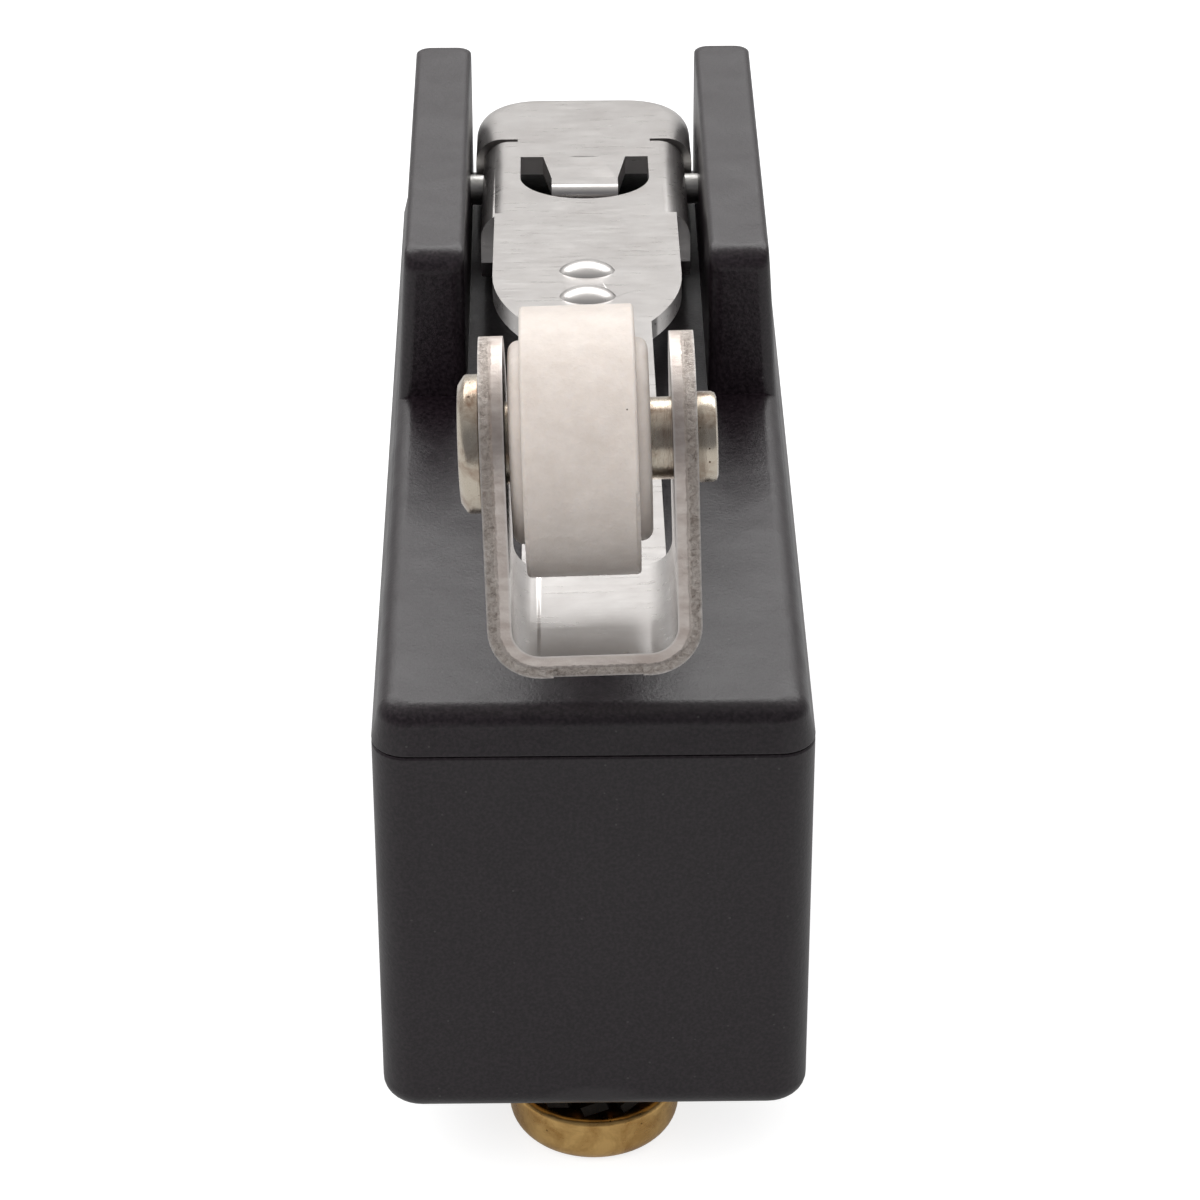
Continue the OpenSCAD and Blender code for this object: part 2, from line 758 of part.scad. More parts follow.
// Bracket on the common terminal: notched side tabs and a slotted tab behind them
module blade_anchor() {
    base_top = strip_top + tab_t;
    tab_top = blade_z + tab_t;
    notch_y = pivot_y - tab_t / 4;
    color(steel) difference() {
        union() {
            block(-anchor_w / 2, anchor_w / 2, anchor_y, rear_tab_y + tab_t, strip_top, base_top);
            both_sides() block(finger_w / 2 + side_gap, anchor_w / 2, notch_y, notch_y + tab_t,
                base_top - eps, tab_top);
            block(-anchor_w / 2, anchor_w / 2, rear_tab_y, rear_tab_y + tab_t,
                base_top - eps, tab_top);
        }
        both_sides() block(0, anchor_w, notch_y - eps, pivot_y + side_gap,
            blade_z - blade_t - side_gap, blade_z + side_gap);
        block(-finger_w / 2 - side_gap, finger_w / 2 + side_gap, rear_tab_y - eps,
            rear_tab_y + tab_t + eps, blade_z - blade_t - side_gap, blade_z + side_gap);
        post(0, anchor_rivet_y, strip_top - eps, base_top + eps, rivet_d + 2 * fix_gap);
    }
}

module anchor_rivet() {
    base_top = strip_top + tab_t;
    color(steel) {
        post(0, anchor_rivet_y, floor_z, base_top + eps, rivet_d);
        post(0, anchor_rivet_y, base_top, base_top + rivet_head_t, contact_d);
    }
}

// Terminals ---------------------------------------------------------------

// Folded strip in side view: riser at y = 0, plate and flange reaching towards +Y
module strip_side(plate_reach, flange_reach) {
    difference() {
        translate([0, (pad_z + strip_top) / 2]) rotate(90)
            arch(strip_top - pad_z, -plate_reach, 0, strip_t);
        translate([strip_t, foot_z]) square([plate_reach, floor_z - foot_z]);
        translate([flange_reach, floor_z - eps]) square([plate_reach, strip_t + 2 * eps]);
    }
}

// Terminal plate with its tapped hole, on the middle plane
module terminal_plate(y0, y1) {
    block(-pad_w / 2, pad_w / 2, y0, y1, pad_z, foot_z);
}

module tapped_hole(y) {
    post(0, y, pad_z - eps, foot_z + eps, screw_d + 2 * fix_gap);
}

module com_terminal() {
    riser_len = com_riser_y - terminal_y + pad_w / 2;
    color(brass) difference() {
        union() {
            terminal_plate(terminal_y - pad_w / 2, com_riser_y - strip_t);
            translate([0, com_riser_y, 0]) mirror([0, 1, 0])
                along_x(-riser_w / 2, riser_w / 2) strip_side(riser_len, com_riser_y - anchor_y);
        }
        tapped_hole(terminal_y);
        post(0, anchor_rivet_y, floor_z - eps, strip_top + eps, rivet_d + 2 * fix_gap);
    }
}

module no_terminal() {
    riser_len = pad_w / 2 - terminal_y - no_riser_y;
    color(brass) difference() {
        union() {
            terminal_plate(no_riser_y + strip_t, pad_w / 2 - terminal_y);
            translate([0, no_riser_y, 0]) along_x(-riser_w / 2, riser_w / 2)
                strip_side(riser_len, contact_y + contact_d - no_riser_y);
        }
        tapped_hole(-terminal_y);
        post(0, contact_y, floor_z - eps, strip_top + eps, rivet_d + 2 * fix_gap);
    }
}

// The middle terminal rises beside the blade and bridges over it to the contacts
module nc_terminal() {
    bridge_near = contact_y - contact_d / 2 - blade_overlap;
    bridge_far = contact_y + contact_d / 2 + blade_overlap;
    color(brass) difference() {
        union() {
            block(-pad_w / 2, nc_riser_x, -pad_w / 2, pad_w / 2, pad_z, foot_z);
            block(nc_riser_x - strip_t, nc_riser_x, -riser_w / 2, riser_w / 2,
                foot_z - eps, bridge_z + strip_t);
            block(nc_riser_x - arm_strip_w, nc_riser_x, bridge_near, riser_w / 2,
                bridge_z, bridge_z + strip_t);
            block(-contact_d / 2 - side_gap, nc_riser_x, bridge_near, bridge_far,
                bridge_z, bridge_z + strip_t);
        }
        tapped_hole(0);
        post(0, contact_y, bridge_z - eps, bridge_z + strip_t + eps, rivet_d + 2 * fix_gap);
    }
}

module nc_contact() {
    color(silver) translate([0, contact_y, 0]) {
        post(0, 0, nc_contact_low, bridge_z, contact_d);
        post(0, 0, bridge_z - eps, bridge_z + strip_t, rivet_d);
    }
}

module no_contact() {
    color(silver) translate([0, contact_y, 0]) {
        post(0, 0, strip_top, no_contact_top, contact_d);
        post(0, 0, floor_z, strip_top + eps, rivet_d);
    }
}

// Screws and washers ------------------------------------------------------

// Terminal screw: pan head with a round lower edge and a cross recess
module terminal_screw(y) {
    edge_r = head_h / 3;
    color(brass) translate([0, y, head_z]) {
        difference() {
            mirror([0, 0, 1]) rotate_extrude() intersection() {
                arch(head_d, 0, head_h, edge_r);
                square([head_d, head_h]);
            }
            translate([0, 0, -head_h]) cross_recess(head_d * 5 / 9, head_h / 2);
        }
        post(0, 0, -eps, screw_len, screw_d);
    }
}

// Ring with twisted teeth, standing on the screw head
module toothed_washer(y) {
    ring_d = washer_d - 4 * washer_t;
    rise = (tooth_w * sin(tooth_twist) + washer_t * cos(tooth_twist)) / 2;
    color(steel) translate([0, y, head_z + rise + fix_gap]) difference() {
        union() {
            cylinder(h = washer_t, d = ring_d, center = true);
            for (i = [1 : washer_teeth]) rotate([tooth_twist, 0, 360 * i / washer_teeth])
                block(ring_d / 2 - washer_t / 2, washer_d / 2, -tooth_w / 2, tooth_w / 2,
                    -washer_t / 2, washer_t / 2);
        }
        cylinder(h = 2 * washer_t, d = screw_d + 2 * side_gap, center = true);
    }
}

module cover_screw() {
    color(steel) difference() {
        union() {
            post(0, 0, cover_seat_z - cover_head_h, cover_seat_z, cover_head_d);
            post(0, 0, cover_seat_z - eps, seam_z - rim_h - screw_len, cover_screw_d);
        }
        translate([0, 0, cover_seat_z - cover_head_h])
            cross_recess(cover_head_d * 5 / 9, cover_head_h / 2);
    }
}

case();
cover();
lever();
hinge_pin(-1);  // hinge_pin_left
hinge_pin(1);  // hinge_pin_right
roller();
roller_axle();
plunger();
snap_blade();
moving_contact();
blade_anchor();
anchor_rivet();
com_terminal();
nc_terminal();
no_terminal();
nc_contact();
no_contact();
terminal_screw(terminal_y);  // com_screw
terminal_screw(0);  // nc_screw
terminal_screw(-terminal_y);  // no_screw
toothed_washer(terminal_y);  // com_washer
toothed_washer(0);  // nc_washer
toothed_washer(-terminal_y);  // no_washer
translate([-post_x, -post_y, 0]) cover_screw();  // cover_screw_near
translate([post_x, post_y, 0]) cover_screw();  // cover_screw_far
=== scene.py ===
"""Lever micro switch: finishes, detail pieces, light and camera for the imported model."""
import json
import math

import bmesh
import bpy
from mathutils import Matrix, Vector


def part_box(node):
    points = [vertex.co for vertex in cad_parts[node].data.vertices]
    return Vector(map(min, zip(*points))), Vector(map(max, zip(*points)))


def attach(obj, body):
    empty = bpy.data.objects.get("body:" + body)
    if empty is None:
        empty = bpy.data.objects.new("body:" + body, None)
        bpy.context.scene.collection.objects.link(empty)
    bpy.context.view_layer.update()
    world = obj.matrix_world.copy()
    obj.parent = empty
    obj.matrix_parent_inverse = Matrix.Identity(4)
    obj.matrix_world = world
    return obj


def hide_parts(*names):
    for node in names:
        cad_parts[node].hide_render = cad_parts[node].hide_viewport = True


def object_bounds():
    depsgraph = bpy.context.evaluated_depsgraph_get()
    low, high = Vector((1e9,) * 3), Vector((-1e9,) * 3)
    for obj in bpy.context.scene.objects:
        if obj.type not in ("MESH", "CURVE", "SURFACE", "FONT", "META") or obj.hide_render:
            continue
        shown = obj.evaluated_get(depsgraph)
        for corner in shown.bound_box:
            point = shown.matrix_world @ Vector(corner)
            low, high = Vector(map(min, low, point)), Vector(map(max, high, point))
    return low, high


MM = 0.001

# The lever's own frame: distances in millimetres, angles in degrees
LEVER_TILT = 6.5
BRACKET_LEAN = 1.5
SHEET = 0.85
SHEET_LOW = 1.05
BRACKET_HALF = 3.75
BEND_OUTER = 1.85
BRACKET_START, BRACKET_END = 46.65, 54.15
PLATE_TOP = 1.9
RIB_START, RIB_PITCH = 15.95, 3.1

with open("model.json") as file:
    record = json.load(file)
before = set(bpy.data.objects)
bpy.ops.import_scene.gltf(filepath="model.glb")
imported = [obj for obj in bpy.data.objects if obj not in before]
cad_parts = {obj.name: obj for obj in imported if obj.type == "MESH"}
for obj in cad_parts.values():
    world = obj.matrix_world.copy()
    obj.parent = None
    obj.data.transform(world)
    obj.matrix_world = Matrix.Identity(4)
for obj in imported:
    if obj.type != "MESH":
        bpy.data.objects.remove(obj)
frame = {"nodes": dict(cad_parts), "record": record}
CAD_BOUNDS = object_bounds()
NODES = frame["nodes"]
JOINTS = {joint["name"]: joint for joint in frame["record"]["behaviour"]["joints"]}
HINGE = Vector(JOINTS["lever_hinge"]["pos_m"])


# Camera, light and floor ---------------------------------------------------

CAMERA_LENS = 125.46
CAMERA_PLACE = (-1.14, -160.32, 103.59)
CAMERA_YAW, CAMERA_PITCH, CAMERA_ROLL = 0.59, 31.51, -0.17
AIM = (0, 0, 0.015)
FLOOR_WHITE, FLOOR_GLOSS = 0.8, 0.2


def look_from(position_mm, yaw_deg, pitch_deg, roll_deg):
    """World matrix of a camera that looks along +Y, turned right by yaw, down by pitch, then rolled."""
    yaw, pitch, roll = (math.radians(a) for a in (yaw_deg, pitch_deg, roll_deg))
    forward = Vector((math.sin(yaw) * math.cos(pitch), math.cos(yaw) * math.cos(pitch), -math.sin(pitch)))
    right = Vector((math.cos(yaw), -math.sin(yaw), 0.0))
    up = right.cross(forward)
    right_rolled = math.cos(roll) * right + math.sin(roll) * up
    up_rolled = -math.sin(roll) * right + math.cos(roll) * up
    turn = Matrix((right_rolled, up_rolled, -forward)).transposed().to_4x4()
    return Matrix.Translation(Vector(position_mm) * MM) @ turn


def make_camera():
    data = bpy.data.cameras.new("camera")
    data.sensor_width = 36.0
    data.lens = CAMERA_LENS
    data.clip_start = 0.01
    data.clip_end = 10.0
    camera = bpy.data.objects.new("camera", data)
    bpy.context.scene.collection.objects.link(camera)
    camera.matrix_world = look_from(CAMERA_PLACE, CAMERA_YAW, CAMERA_PITCH, CAMERA_ROLL)
    bpy.context.scene.camera = camera


def make_softbox(name, position, size, power):
    """Area light at a place in metres, aimed at the object's middle."""
    data = bpy.data.lights.new(name, "AREA")
    data.shape = "RECTANGLE"
    data.size, data.size_y = size
    data.energy = power
    light = bpy.data.objects.new(name, data)
    bpy.context.scene.collection.objects.link(light)
    light.location = position
    aim = Vector(AIM) - Vector(position)
    light.rotation_euler = aim.to_track_quat("-Z", "Y").to_euler()
    return light


def make_world():
    """Grey surroundings, dimmer on the side that the near end faces; the camera sees white."""
    world = bpy.data.worlds.new("studio")
    bpy.context.scene.world = world
    world.use_nodes = True
    tree = Tree(world.node_tree)
    background = world.node_tree.nodes["Background"]
    direction = tree.add("ShaderNodeTexCoord").outputs["Generated"]
    _, y, z = tree.split(direction)
    level = tree.math("ADD", tree.math("MULTIPLY", y, 0.55), tree.math("MULTIPLY", z, 0.5))
    surround = tree.ramp(level, [(0.0, (0.20, 0.20, 0.21)), (0.62, (0.66, 0.65, 0.64))])
    seen = tree.add("ShaderNodeLightPath").outputs["Is Camera Ray"]
    tree.link(tree.mix(seen, surround, (1, 1, 1)), background.inputs["Color"])


def make_floor():
    """Pale floor under the lowest point, white to the camera but for the object's shadow."""
    bm = bmesh.new()
    bmesh.ops.create_grid(bm, x_segments=1, y_segments=1, size=2.0)
    mesh = bpy.data.meshes.new("floor")
    bm.to_mesh(mesh)
    bm.free()
    floor = bpy.data.objects.new("floor", mesh)
    bpy.context.scene.collection.objects.link(floor)
    floor.location.z = CAD_BOUNDS[0][2]
    material = bpy.data.materials.new("floor")
    material.use_nodes = True
    tree = Tree(material.node_tree)
    shader = tree.shader
    shader.inputs["Base Color"].default_value = (0.35, 0.35, 0.35, 1)
    shader.inputs["Roughness"].default_value = 0.9
    path = tree.add("ShaderNodeLightPath")
    seen = tree.math("MAXIMUM", path.outputs["Is Camera Ray"], path.outputs["Is Transmission Ray"])
    glow = tree.math("ADD", tree.math("MULTIPLY", seen, FLOOR_WHITE),
                     tree.math("MULTIPLY", path.outputs["Is Glossy Ray"], FLOOR_GLOSS))
    shader.inputs["Emission Color"].default_value = (1, 1, 1, 1)
    tree.link(glow, shader.inputs["Emission Strength"])
    mesh.materials.append(material)


# Node helpers --------------------------------------------------------------

class Tree:
    """Short names for building a node tree."""

    def __init__(self, tree):
        self.tree = tree
        self.shader = tree.nodes.get("Principled BSDF")

    def add(self, kind, **values):
        node = self.tree.nodes.new(kind)
        for name, value in values.items():
            setattr(node, name, value)
        return node

    def link(self, source, target):
        self.tree.links.new(source, target)

    def feed(self, socket, value):
        """Links a socket, or sets it where value is a plain number or colour."""
        if isinstance(value, bpy.types.NodeSocket):
            self.link(value, socket)
        elif isinstance(value, tuple) and len(socket.default_value) == 4:
            socket.default_value = (*value[:3], 1)
        else:
            socket.default_value = value

    def math(self, operation, a, b=0.0, clamp=False):
        node = self.add("ShaderNodeMath", operation=operation, use_clamp=clamp)
        self.feed(node.inputs[0], a)
        self.feed(node.inputs[1], b)
        return node.outputs[0]

    def split(self, vector):
        node = self.add("ShaderNodeSeparateXYZ")
        self.link(vector, node.inputs[0])
        return node.outputs

    def place(self, scale=(1, 1, 1)):
        """The piece's own coordinates in millimetres, times scale."""
        source = self.add("ShaderNodeTexCoord").outputs["Object"]
        node = self.add("ShaderNodeMapping")
        self.link(source, node.inputs["Vector"])
        node.inputs["Scale"].default_value = [s / MM for s in scale]
        return node.outputs[0]

    def noise(self, scale, detail=4.0, roughness=0.55, stretch=(1, 1, 1), distortion=0.0):
        """Noise with about scale features in a millimetre."""
        node = self.add("ShaderNodeTexNoise")
        self.link(self.place(stretch), node.inputs["Vector"])
        node.inputs["Scale"].default_value = scale
        node.inputs["Detail"].default_value = detail
        node.inputs["Roughness"].default_value = roughness
        node.inputs["Distortion"].default_value = distortion
        return node.outputs["Fac"]

    def specks(self, scale, size):
        """Mask of sparse round specks: about scale cells in a millimetre, size as a share of a cell."""
        node = self.add("ShaderNodeTexVoronoi")
        self.link(self.place(), node.inputs["Vector"])
        node.inputs["Scale"].default_value = scale
        near = self.math("LESS_THAN", node.outputs["Distance"], size)
        pick = self.math("GREATER_THAN", self.split(node.outputs["Color"])[0], 0.86)
        return self.math("MULTIPLY", near, pick)

    def ramp(self, value, stops):
        node = self.add("ShaderNodeValToRGB")
        self.link(value, node.inputs[0])
        elements = node.color_ramp.elements
        while len(elements) < len(stops):
            elements.new(0.5)
        for element, (position, color) in zip(elements, stops):
            element.position = position
            element.color = (*color, 1) if isinstance(color, tuple) else (color, color, color, 1)
        return node.outputs[0]

    def mix(self, factor, a, b):
        node = self.add("ShaderNodeMix", data_type="RGBA")
        self.feed(node.inputs["Factor"], factor)
        self.feed(node.inputs["A"], a)
        self.feed(node.inputs["B"], b)
        return node.outputs["Result"]

    def bump(self, height, depth_mm, onto=None):
        """Adds height times depth to the shader's normal; returns the normal for a further one."""
        node = self.add("ShaderNodeBump")
        self.link(height, node.inputs["Height"])
        node.inputs["Distance"].default_value = depth_mm * MM
        node.inputs["Strength"].default_value = 1.0
        if onto is not None:
            self.link(onto, node.inputs["Normal"])
        self.link(node.outputs[0], self.shader.inputs["Normal"])
        return node.outputs[0]


def new_material(name):
    material = bpy.data.materials.new(name)
    material.use_nodes = True
    return material, Tree(material.node_tree)


# Materials -----------------------------------------------------------------

def gate_mark(tree):
    """Mask of the dull patch that the mould's gate leaves low on the near end of the case."""
    half_wide, half_high, below_origin, near_end = 2.1, 0.55, 3.5, -23.5
    x, y, z = tree.split(tree.place())
    wide = tree.math("DIVIDE", x, half_wide)
    high = tree.math("DIVIDE", tree.math("ADD", z, below_origin), half_high)
    reach = tree.math("ADD", tree.math("MULTIPLY", wide, wide), tree.math("MULTIPLY", high, high))
    inside = tree.math("SUBTRACT", 1.0, reach, clamp=True)
    return tree.math("MULTIPLY", inside, tree.math("LESS_THAN", y, near_end))


def phenolic(name):
    """Black moulding: satin skin, fine filler grain and a few pale specks."""
    material, tree = new_material(name)
    grain = tree.noise(7, detail=3)
    cloud = tree.noise(0.35, detail=3)
    color = tree.ramp(grain, [(0.38, (0.0055, 0.0030, 0.0046)), (0.66, (0.0190, 0.0130, 0.0165))])
    color = tree.mix(tree.specks(2.2, 0.11), color, (0.04, 0.037, 0.037))
    gate = gate_mark(tree)
    color = tree.mix(tree.math("MULTIPLY", gate, cloud), color, (0.06, 0.055, 0.057))
    tree.link(color, tree.shader.inputs["Base Color"])
    rough = tree.math("ADD", tree.math("MULTIPLY", cloud, 0.16), tree.math("MULTIPLY", grain, 0.12))
    rough = tree.math("ADD", rough, tree.math("MULTIPLY", gate, 0.2))
    tree.link(tree.math("ADD", rough, 0.22), tree.shader.inputs["Roughness"])
    skin = tree.bump(tree.noise(0.22, detail=2), 0.12)
    tree.bump(grain, 0.012, skin)
    return material


def metal(name, bright, dull, rough, grain=(1, 1, 1), grain_scale=6.0, stain=0.5):
    """Worn metal: two tones in soft patches, fine grain along one direction."""
    material, tree = new_material(name)
    tree.shader.inputs["Metallic"].default_value = 1.0
    patch = tree.noise(0.8, detail=6, roughness=0.65, distortion=0.4)
    line = tree.noise(grain_scale, detail=3, stretch=grain)
    color = tree.ramp(patch, [(stain - 0.14, dull), (stain + 0.1, bright)])
    color = tree.mix(tree.specks(3.0, 0.14), color, tuple(c * 0.45 for c in dull))
    tree.link(color, tree.shader.inputs["Base Color"])
    wear = tree.math("ADD", tree.math("MULTIPLY", patch, 0.14), tree.math("MULTIPLY", line, 0.16))
    tree.link(tree.math("ADD", wear, rough - 0.15), tree.shader.inputs["Roughness"])
    tree.bump(line, 0.008, tree.bump(patch, 0.01))
    return material


def lever_frame_place(tree):
    """Coordinates in the leaning bracket's own flat frame, in millimetres."""
    node = tree.add("ShaderNodeMapping", vector_type="TEXTURE")
    tree.link(tree.add("ShaderNodeTexCoord").outputs["Object"], node.inputs["Vector"])
    node.inputs["Location"].default_value = HINGE
    node.inputs["Rotation"].default_value = (-math.radians(LEVER_TILT), 0, 0)
    node.inputs["Scale"].default_value = (MM, MM, MM)
    lean = tree.add("ShaderNodeMapping", vector_type="TEXTURE")
    tree.link(node.outputs[0], lean.inputs["Vector"])
    lean.inputs["Location"].default_value = (0, 0, SHEET_LOW)
    lean.inputs["Rotation"].default_value = (0, -math.radians(BRACKET_LEAN), 0)
    return lean.outputs[0]


def lever_steel(name):
    """Satin stainless sheet; the bracket's sheared edges are half smooth, half torn, with a painted
    highlight along their borders.
    """
    material, tree = new_material(name)
    tree.shader.inputs["Metallic"].default_value = 1.0
    x, y, z = tree.split(lever_frame_place(tree))

    # Place across the bent sheet: 0 on the outer face, 1 on the inner one
    inner = BRACKET_HALF - BEND_OUTER
    side = tree.math("MAXIMUM", tree.math("SUBTRACT", tree.math("ABSOLUTE", x), inner), 0.0)
    down = tree.math("MAXIMUM", tree.math("SUBTRACT", BEND_OUTER, z), 0.0)
    reach = tree.math("SQRT", tree.math("ADD", tree.math("MULTIPLY", side, side),
                                        tree.math("MULTIPLY", down, down)))
    across = tree.math("DIVIDE", tree.math("SUBTRACT", BEND_OUTER, reach), SHEET)

    # Sheared edges: on the bracket, facing neither sideways nor up from its floor
    normal = tree.add("ShaderNodeTexCoord").outputs["Normal"]
    nx, _, nz = tree.split(normal)
    edge_on = tree.math("LESS_THAN", tree.math("ABSOLUTE", nx), 0.5)
    flat_floor = tree.math("MULTIPLY", tree.math("GREATER_THAN", tree.math("ABSOLUTE", nz), 0.7),
                           tree.math("LESS_THAN", z, BEND_OUTER + 0.3))
    on_bracket = tree.math("LESS_THAN", y, -BRACKET_START)
    sheared = tree.math("MULTIPLY", tree.math("MULTIPLY", edge_on, on_bracket),
                        tree.math("SUBTRACT", 1.0, flat_floor))

    patch = tree.noise(0.5, detail=5, roughness=0.6)
    brush = tree.noise(5, detail=3, stretch=(0.12, 1, 1))
    sheet = tree.ramp(patch, [(0.3, (0.56, 0.535, 0.52)), (0.7, (0.66, 0.64, 0.625))])

    torn_noise = tree.noise(4.5, detail=6, roughness=0.75, distortion=0.6)
    wander = tree.math("MULTIPLY", tree.math("SUBTRACT", torn_noise, 0.5), 0.35)
    split_line = tree.math("ADD", across, wander)
    torn = tree.ramp(torn_noise, [(0.3, (0.26, 0.21, 0.18)), (0.45, (0.54, 0.475, 0.43)),
                                  (0.6, (0.74, 0.68, 0.63))])
    burnished = tree.ramp(tree.noise(2.2, detail=4, stretch=(0.4, 1, 1)),
                          [(0.35, (0.60, 0.52, 0.475)), (0.65, (0.80, 0.73, 0.68))])
    half = tree.ramp(split_line, [(0.42, 0.0), (0.55, 1.0)])
    # Painted highlight: both borders of each sheared face are lightened towards near white
    rim = tree.ramp(across, [(0.0, 1.0), (0.1, 0.0), (0.9, 0.0), (1.0, 1.0)])
    cut = tree.mix(half, torn, burnished)
    cut = tree.mix(tree.math("MULTIPLY", rim, 0.7), cut, (0.85, 0.82, 0.8))
    tree.link(tree.mix(sheared, sheet, cut), tree.shader.inputs["Base Color"])

    smooth = tree.math("ADD", 0.2, tree.math("MULTIPLY", brush, 0.22))
    coarse = tree.math("ADD", 0.3, tree.math("MULTIPLY", torn_noise, 0.3))
    tree.link(tree.math("ADD", tree.math("MULTIPLY", sheared, coarse),
                        tree.math("MULTIPLY", tree.math("SUBTRACT", 1.0, sheared), smooth)),
              tree.shader.inputs["Roughness"])
    torn_share = tree.math("MULTIPLY", sheared, tree.math("SUBTRACT", 1.2, half))
    roughened = tree.math("MULTIPLY", torn_noise, torn_share)
    scratch = tree.math("MULTIPLY", brush, tree.math("MULTIPLY", on_bracket, 0.004))
    fine = tree.noise(9, detail=2)
    uneven = tree.bump(roughened, 0.12, tree.bump(patch, 0.006))
    tree.bump(fine, 0.0012, tree.bump(scratch, 1.0, uneven))
    return material


def nylon(name):
    """Warm white nylon, a little translucent, with soft mottling and a few dark specks."""
    material, tree = new_material(name)
    mottle = tree.noise(1.1, detail=6, roughness=0.7)
    color = tree.ramp(mottle, [(0.3, (0.61, 0.545, 0.495)), (0.7, (0.70, 0.635, 0.585))])
    color = tree.mix(tree.specks(0.85, 0.09), color, (0.16, 0.13, 0.11))
    tree.link(color, tree.shader.inputs["Base Color"])
    tree.shader.inputs["Subsurface Weight"].default_value = 0.25
    tree.shader.inputs["Subsurface Radius"].default_value = (1.0, 0.8, 0.6)
    tree.shader.inputs["Subsurface Scale"].default_value = 0.6 * MM
    tree.link(tree.math("ADD", 0.34, tree.math("MULTIPLY", mottle, 0.2)), tree.shader.inputs["Roughness"])
    fine = tree.noise(6, detail=3)
    tree.bump(fine, 0.01, tree.bump(mottle, 0.06))
    return material


MATERIALS = {
    "phenolic": lambda: phenolic("phenolic_black"),
    "lever_steel": lambda: lever_steel("steel_sheet"),
    "plated_steel": lambda: metal("steel_plated", (0.66, 0.65, 0.63), (0.45, 0.44, 0.42), 0.36),
    "axle_nickel": lambda: metal("nickel_worn", (0.66, 0.59, 0.49), (0.30, 0.20, 0.14), 0.24,
                                 grain=(6, 1, 1), grain_scale=2.5, stain=0.46),
    "nylon": lambda: nylon("nylon_white"),
    "terminal_brass": lambda: metal("brass_strip", (0.72, 0.53, 0.26), (0.5, 0.33, 0.14), 0.34),
    "screw_brass": lambda: metal("brass_turned", (0.78, 0.50, 0.19), (0.50, 0.28, 0.09), 0.30,
                                 grain=(1, 1, 5), grain_scale=1.6),
    "contact_silver": lambda: metal("silver_contact", (0.86, 0.85, 0.82), (0.66, 0.64, 0.6), 0.26),
    "blade_bronze": lambda: metal("bronze_strip", (0.72, 0.45, 0.24), (0.5, 0.28, 0.14), 0.3,
                                  grain=(1, 0.12, 1)),
}

# Radius in millimetres that softens the sharp edges of a node
EDGE_RADIUS = {
    "roller": 0.05, "hinge_pin_left": 0.1, "hinge_pin_right": 0.1, "plunger": 0.08,
    "com_terminal": 0.06, "nc_terminal": 0.06, "no_terminal": 0.06,
    "cover_screw_near": 0.1, "cover_screw_far": 0.1,
}


def dress_nodes():
    """Puts the finish of its slot on every CAD node; washers get a near-black colour that paints the shade
    between the case and the screw heads.
    """
    # Painted shade: washer colour is near black for the shadow between the case bottom and the screw heads
    dark = metal("washer_painted_shade", (0.035, 0.03, 0.026), (0.02, 0.018, 0.016), 0.6)
    for name, slot in SLOTS.items():
        node = NODES[name]
        node.data.materials.clear()
        node.data.materials.append(dark if name.endswith("_washer") else FINISH[slot])
        if name in EDGE_RADIUS:
            soften(node, EDGE_RADIUS[name])


def soften(piece, radius_mm):
    """Rounds the piece's sharp edges."""
    bevel = piece.modifiers.new("soft_edges", "BEVEL")
    bevel.width = radius_mm * MM
    bevel.segments = 3
    bevel.limit_method = "ANGLE"
    bevel.angle_limit = math.radians(28)
    bevel.use_clamp_overlap = True
    bevel.harden_normals = True


# Shapes --------------------------------------------------------------------

# Faces that meet at less than this angle in degrees count as one flat face
FLAT_ANGLE = 0.6


def build_mesh(name, bm):
    """Closed mesh in metres from a bmesh in millimetres."""
    bmesh.ops.recalc_face_normals(bm, faces=bm.faces)
    bmesh.ops.scale(bm, vec=(MM, MM, MM), verts=bm.verts)
    mesh = bpy.data.meshes.new(name)
    bm.to_mesh(mesh)
    bm.free()
    piece = bpy.data.objects.new(name, mesh)
    bpy.context.scene.collection.objects.link(piece)
    return piece


def skin(name, loops):
    """Solid through closed loops of equally many points, capped at both ends."""
    bm = bmesh.new()
    rings = [[bm.verts.new(p) for p in loop] for loop in loops]
    count = len(rings[0])
    for low, high in zip(rings, rings[1:]):
        for i in range(count):
            j = (i + 1) % count
            bm.faces.new((low[i], low[j], high[j], high[i]))
    bm.faces.new(rings[0][::-1])
    bm.faces.new(rings[-1])
    return build_mesh(name, bm)


def round_rect(x0, x1, y0, y1, r, z, steps=8):
    """Points of a rectangle with round corners at one level."""
    corners = ((x1 - r, y1 - r, 0), (x0 + r, y1 - r, 90), (x0 + r, y0 + r, 180), (x1 - r, y0 + r, 270))
    turn = [math.radians(90 * i / steps) for i in range(steps + 1)]
    return [(cx + r * math.cos(math.radians(start) + a), cy + r * math.sin(math.radians(start) + a), z)
            for cx, cy, start in corners for a in turn]


def fillet(r, steps=10):
    """Pairs of inset and distance below the top along a quarter round, from its foot up."""
    turn = [math.radians(90 * i / steps) for i in range(steps + 1)]
    return [(r * (1 - math.cos(a)), r * (1 - math.sin(a))) for a in turn]


def box(name, x0, x1, y0, y1, z0, z1):
    return skin(name, [[(x0, y0, z), (x1, y0, z), (x1, y1, z), (x0, y1, z)] for z in (z0, z1)])


def rod(name, axis, place, start, end, r, steps=48):
    """Cylinder along X or Z; place is the other two coordinates."""
    turn = [2 * math.pi * i / steps for i in range(steps)]
    circle = [(place[0] + r * math.cos(a), place[1] + r * math.sin(a)) for a in turn]
    if axis == "X":
        return skin(name, [[(t, a, b) for a, b in circle] for t in (start, end)])
    return skin(name, [[(a, b, t) for a, b in circle] for t in (start, end)])


